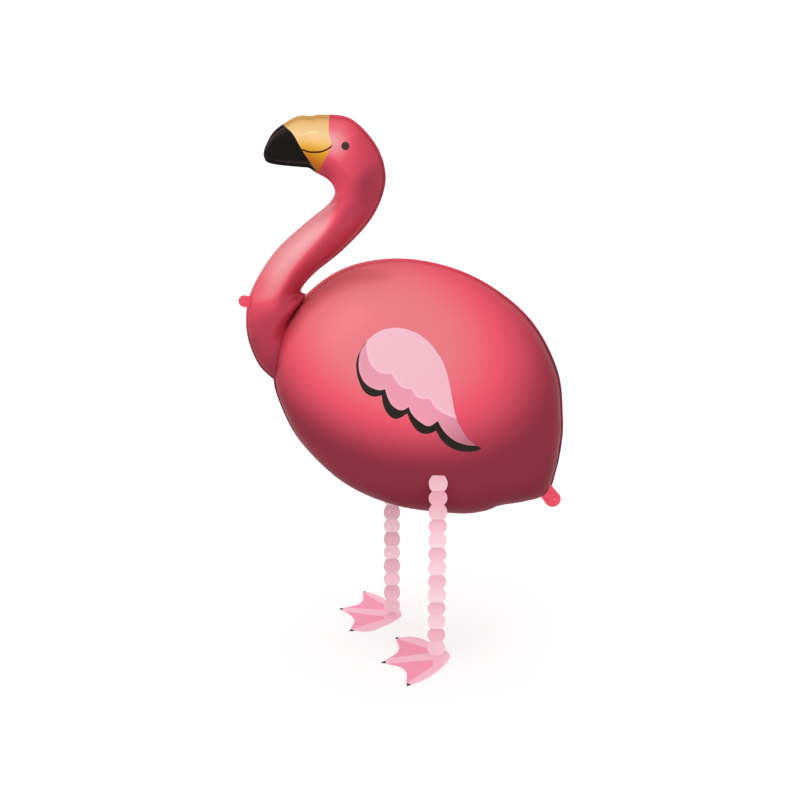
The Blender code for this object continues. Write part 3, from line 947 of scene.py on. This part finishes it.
# %% Print the tabs and join them
TAB_MOTTLE = 60.0
tab_finish = Finish("plain_foil_tabs", FOIL_ROUGHNESS, FOIL_SPECULAR, FOIL_METAL)
tab_pink = tab_finish.ramp(tab_finish.noise(TAB_MOTTLE), [
    (0.3, paint(235, 83, 104)), (0.7, paint(242, 89, 111)),
])
tab_finish.colour(tab_pink)
foil_relief(tab_finish)
for balloon, tongue in ((body, tail_tab), (neck, breast_tab)):
    tongue.data.materials.append(tab_finish.material)
    start_clean()
    tongue.select_set(True)
    balloon.select_set(True)
    bpy.context.view_layer.objects.active = balloon
    bpy.ops.object.join()
    print(count_faces(balloon), "and", len(balloon.data.materials), "materials")

# %% Fasten the balloons to the frame
for balloon, node, finish_slot in ((body, "body_balloon", "foil_body"),
                                   (neck, "neck_head_balloon", "foil_neck")):
    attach(balloon, "root")
    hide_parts(node)
print("balloons fastened:", body.name, neck.name)

# %% [markdown]
# ## The paper legs
# Each leg is a strip of thin scalloped paper that is folded like an accordion. The panels that
# face down and out look darker than those that face up, and painted shade makes that stronger:
# every other panel is painted darker, and each panel darker at its top, as a painted shadow
# under the fold above. Where the leg lies over the body the foil's pink is painted on the paper,
# as if it showed through. The folds are evenly spaced from the leg's top to the foot, so the
# panel that a point lies in follows from its height alone.

# %% Paper for a leg
PANELS = 13
LAST_PANEL_SHARE = 1.104   # the lowest disc is cut off a little further down than the others
FOOT_TOP = 0.0029
PAPER_ROUGHNESS = 0.8
PAPER_SPECULAR = 0.25
SEE_THROUGH_FROM = 0.440
SEE_THROUGH_TO = 0.475
SEE_THROUGH = 0.28
PAINTED_SHOW_THROUGH_PINK = paint(206, 96, 118)
FIBRE_SCALE = 260.0
FIBRE_DEPTH = 0.0001
FLECK_FROM = 0.55
FLECK_TO = 0.8
FLECK_STRENGTH = 0.25
FLECK_PINK = paint(255, 232, 238)


def paper_finish(name, top):
    """Return the paper of a leg whose first fold is at a height."""
    finish = Finish(name, PAPER_ROUGHNESS, PAPER_SPECULAR)
    _, _, height = finish.split(finish.spot())
    panel_height = (top - FOOT_TOP) / (PANELS - 1 + LAST_PANEL_SHARE)
    folds_down = finish.math("DIVIDE", finish.math("SUBTRACT", top, height), panel_height)
    panel_share = finish.math("FRACT", folds_down)
    panel = finish.math("MINIMUM", finish.math("FLOOR", folds_down), PANELS - 1)
    odd = finish.math("GREATER_THAN", finish.math("PINGPONG", panel, 1.0), 0.5)
    # Painted light and shade: the paper of the lit panels, darker at the top as a painted shadow
    # under the fold above.
    painted_lit_panel = finish.ramp(panel_share, [
        (0.0, paint(244, 199, 211)), (0.4, paint(247, 206, 216)), (1.0, paint(250, 214, 224)),
    ])
    # Painted shade: the paper of the shaded panels, darker still, and darkest at the top under the
    # fold.
    painted_shaded_panel = finish.ramp(panel_share, [
        (0.0, paint(232, 176, 191)), (0.3, paint(241, 186, 200)), (1.0, paint(247, 197, 210)),
    ])
    paper = finish.mix(odd, painted_lit_panel, painted_shaded_panel)
    # Painted see-through: above a height the body's pink is painted on the paper.
    over_body = finish.step(height, SEE_THROUGH_FROM, SEE_THROUGH_TO)
    shown = finish.mix(finish.math("MULTIPLY", over_body, SEE_THROUGH), paper, PAINTED_SHOW_THROUGH_PINK)
    fibres = finish.noise(FIBRE_SCALE, 4.0)
    flecks = finish.step(fibres, FLECK_FROM, FLECK_TO)
    flecked = finish.math("MULTIPLY", flecks, FLECK_STRENGTH)
    finish.colour(finish.mix(flecked, shown, FLECK_PINK))
    finish.raise_by(fibres, FIBRE_DEPTH)
    return finish.material


for node in ("leg_left", "leg_right"):
    leg = frame["nodes"][node]
    leg_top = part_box(node)[1].z
    leg.data.materials.clear()
    leg.data.materials.append(paper_finish("folded_paper_" + node, leg_top))
    print(node, "starts", round(leg_top, 3), "up")

# %% [markdown]
# ## The card feet
# A foot is stiff card, printed in two pinks: light toes and a light heel, with two darker webs
# between them, and black claws. The webs have straight sides, so each is what lies on the
# inner side of three lines, and a spot inside the web tells which side that is. A toe is given
# by the way it points, in degrees, and its share of the longest toe. The right foot is the
# mirror image of the left one, and the frame that its print is drawn in is mirrored too.

# %% Lines of a foot's print
FOOT_HALF_SPREAD = 0.148
LEFT_FOOT_X = 0.107
RIGHT_FOOT_X = -0.039
FOOT_LENGTH = 0.2125
CLAW_LENGTH = 0.012
CLAW_HALF_WIDTH = 0.012
CLAW_EDGE = 0.001
CLAW_BLACK = paint(34, 24, 28)
TOES = [(-44, 0.847), (15, 0.831), (63.5, 1.0)]
INNER_WEB = [((0.116, -0.108), (0.020, -0.040)), ((0.021, -0.040), (0.021, -0.012)),
             ((0.019, -0.018), (0.136, 0.017))]
OUTER_WEB = [((0.136, 0.051), (0.012, 0.030)), ((0.014, 0.031), (0.017, 0.070)),
             ((0.017, 0.070), (0.085, 0.162))]
INNER_SPOT = (0.09, -0.05)
OUTER_SPOT = (0.06, 0.08)
WEB_EDGE = 0.0006
CARD_ROUGHNESS = 0.55
CARD_SPECULAR = 0.35
MOTTLE_SCALE = 34.0
CARD_GRAIN_SCALE = 900.0
CARD_GRAIN_DEPTH = 0.00005


def beyond_line(finish, spot, start, end, inside):
    """Return 1 on the side of a line where a point inside the web lies, and 0 beyond it."""
    way = (Vector(end) - Vector(start)).normalized()
    square = Vector((-way.y, way.x))
    if square.dot(Vector(inside) - Vector(start)) < 0:
        square = -square
    offset = square.dot(Vector(start))
    return finish.step(finish.reach(spot, square), offset - WEB_EDGE, offset + WEB_EDGE)


def web_area(finish, spot, lines, inside):
    """Return where a web is printed."""
    area = 1.0
    for start, end in lines:
        area = finish.math("MULTIPLY", area, beyond_line(finish, spot, start, end, inside))
    return area


def claw_area(finish, spot, degrees, share):
    """Return where a toe ends in its claw."""
    angle = math.radians(degrees)
    way = Vector((math.cos(angle), math.sin(angle)))
    aside = finish.math("ABSOLUTE", finish.reach(spot, Vector((-way.y, way.x))))
    near = finish.step(aside, CLAW_HALF_WIDTH + 2 * CLAW_EDGE, CLAW_HALF_WIDTH)
    start = share * FOOT_LENGTH - CLAW_LENGTH
    far_out = finish.step(finish.reach(spot, way), start - CLAW_EDGE, start)
    return finish.math("MULTIPLY", near, far_out)


def card_finish(name, x, side):
    """Return the printed card of a foot that stands at a place on the left or right."""
    finish = Finish(name, CARD_ROUGHNESS, CARD_SPECULAR)
    spot = finish.turned((x, side * FOOT_HALF_SPREAD, 0.0), (0.0, 0.0, 0.0), (-1.0, side, 1.0))
    webs = finish.math("ADD", web_area(finish, spot, INNER_WEB, INNER_SPOT),
                       web_area(finish, spot, OUTER_WEB, OUTER_SPOT))
    mottle = finish.noise(MOTTLE_SCALE, 3.0)
    toe_pink = finish.ramp(mottle, [(0.3, paint(255, 189, 210)), (0.7, paint(255, 193, 211))])
    web_pink = finish.ramp(mottle, [(0.3, paint(252, 151, 181)), (0.7, paint(252, 155, 181))])
    colour = finish.mix(webs, toe_pink, web_pink)
    for degrees, share in TOES:
        colour = finish.mix(claw_area(finish, spot, degrees, share), colour, CLAW_BLACK)
    finish.colour(colour)
    finish.raise_by(finish.noise(CARD_GRAIN_SCALE), CARD_GRAIN_DEPTH)
    return finish.material


for node, x, side in (("foot_left", LEFT_FOOT_X, -1.0), ("foot_right", RIGHT_FOOT_X, 1.0)):
    foot = frame["nodes"][node]
    foot.data.materials.clear()
    foot.data.materials.append(card_finish("printed_card_" + node, x, side))
    print(node, "is printed")

# %% [markdown]
# ## Floor, light and camera
# The bird stands on a plain white floor in an even, soft light, as in a product picture. The
# floor glows a little by itself, which keeps it as white as the sky behind it. One weak lamp in
# front and to the left adds some form. The camera is level with the head and looks down.

# %% The floor
FLOOR_RADIUS = 60.0
FLOOR_POINTS = 96
FLOOR_GLOW = 0.1
FLOOR_ROUGHNESS = 0.9
FLOOR_SPECULAR = 0.1
FLOOR_MOTTLE = 3.0
start_clean()
bpy.ops.mesh.primitive_circle_add(vertices=FLOOR_POINTS, radius=FLOOR_RADIUS, fill_type="NGON")
floor = bpy.context.object
floor.name = "floor"
floor_finish = Finish("white_floor", FLOOR_ROUGHNESS, FLOOR_SPECULAR)
floor_white = floor_finish.ramp(floor_finish.noise(FLOOR_MOTTLE), [
    (0.0, paint(252, 252, 252)), (1.0, paint(254, 254, 254)),
])
floor_finish.colour(floor_white)
floor_finish.shader.inputs["Emission Color"].default_value = WHITE
floor_finish.shader.inputs["Emission Strength"].default_value = FLOOR_GLOW
floor.data.materials.append(floor_finish.material)
print("the floor is", FLOOR_RADIUS * 2, "across")

# %% The light
DAYLIGHT = 1.1
KEY_PLACE = (-2.2, -2.4, 3.4)
KEY_AIM = (0.0, 0.0, 0.9)
KEY_SIZE = 2.0
KEY_POWER = 7.0


def soft_light(name, place, size, power, aim):
    """Hang a large square lamp and turn it towards the bird."""
    lamp = bpy.data.lights.new(name, "AREA")
    lamp.size = size
    lamp.energy = power
    thing = bpy.data.objects.new(name, lamp)
    bpy.context.scene.collection.objects.link(thing)
    thing.location = place
    thing.rotation_euler = (Vector(aim) - Vector(place)).to_track_quat("-Z", "Y").to_euler()


world = bpy.data.worlds.new("studio")
bpy.context.scene.world = world
world.use_nodes = True
sky = world.node_tree.nodes["Background"]
sky.inputs["Color"].default_value = WHITE
sky.inputs["Strength"].default_value = DAYLIGHT
soft_light("key", KEY_PLACE, KEY_SIZE, KEY_POWER, KEY_AIM)
bpy.context.scene.view_settings.view_transform = "Standard"
print("lamps:", len(bpy.data.lights))

# %% The camera
CAMERA_PLACE = (-0.0075, -3.25, 1.55)
CAMERA_DIP = math.radians(13.58)
LENS = 50.0
SENSOR_WIDTH = 36.0
camera_data = bpy.data.cameras.new("camera")
camera_data.lens = LENS
camera_data.sensor_width = SENSOR_WIDTH
camera = bpy.data.objects.new("camera", camera_data)
bpy.context.scene.collection.objects.link(camera)
camera.location = CAMERA_PLACE
camera.rotation_euler = (math.pi / 2 - CAMERA_DIP, 0.0, 0.0)
bpy.context.scene.camera = camera
print("the camera looks down by", round(math.degrees(CAMERA_DIP), 1), "degrees")
